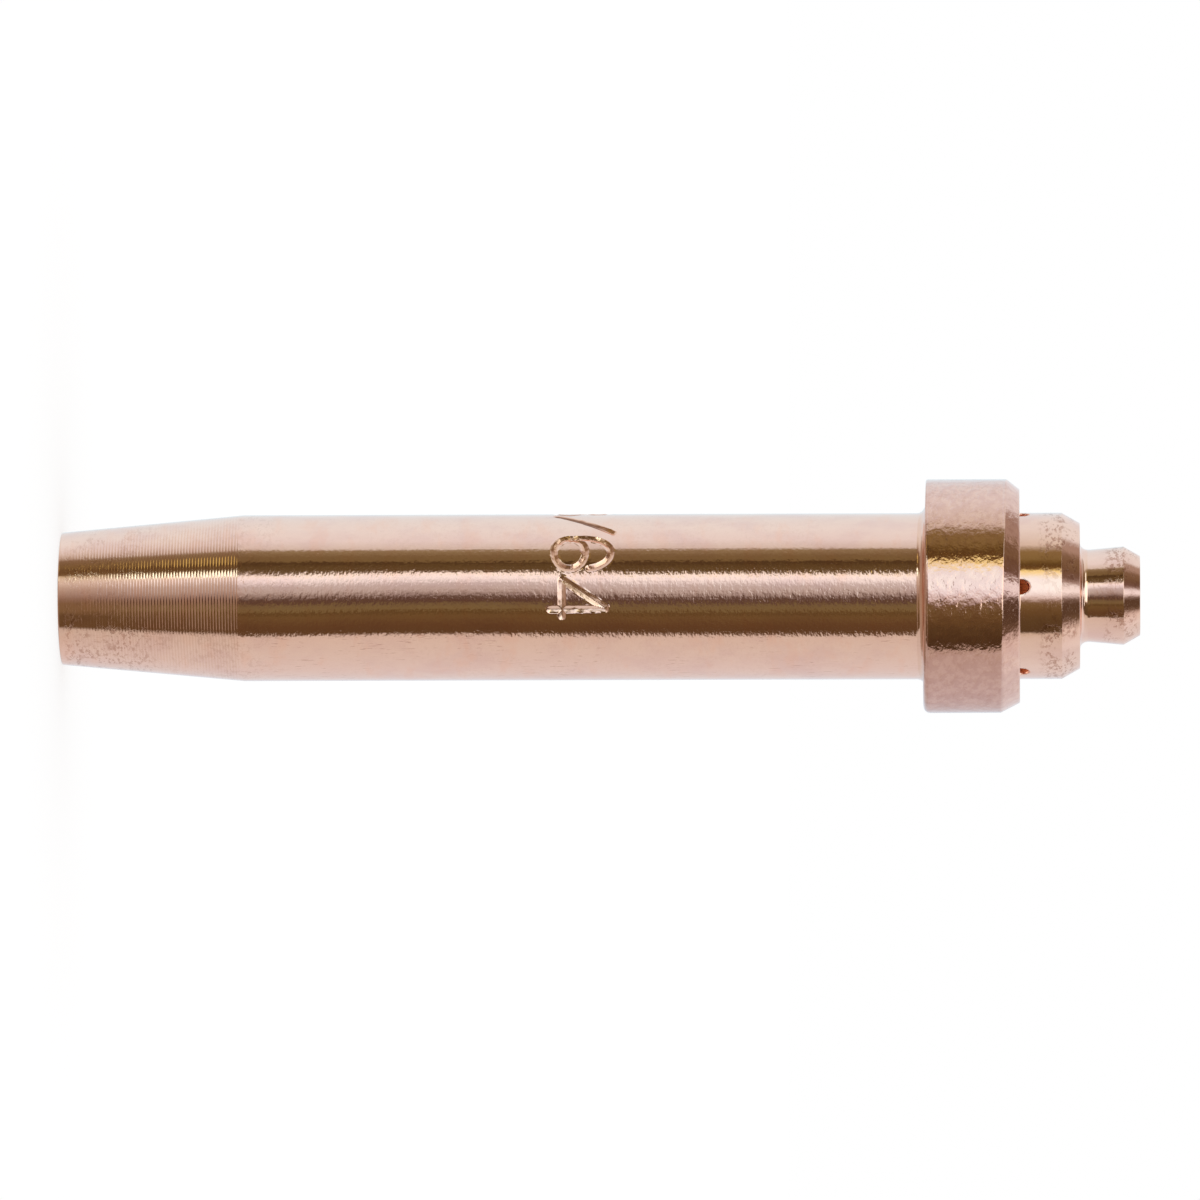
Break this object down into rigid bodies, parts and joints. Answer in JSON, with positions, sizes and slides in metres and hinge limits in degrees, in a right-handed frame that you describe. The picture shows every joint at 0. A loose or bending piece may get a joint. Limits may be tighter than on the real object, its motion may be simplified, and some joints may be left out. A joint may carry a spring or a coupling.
{
  "type": "oxy-fuel cutting tip",
  "caption": "Copper oxy-fuel cutting tip: tapered front, round barrel, collar and stepped conical seats, with a central oxygen bore ringed by preheat passages.",
  "frame": {"origin": "centre of the flame face, on the tip's axis", "axes": "+Z along the axis from the flame face to the torch end; -Y towards the first preheat passage and fuel gas hole"},
  "size_m": [0.019, 0.019, 0.088],
  "materials": {
    "copper": "satin"
  },
  "bodies": {
    "root": {"cutting_tip": "copper"}
  },
  "joints": []
}
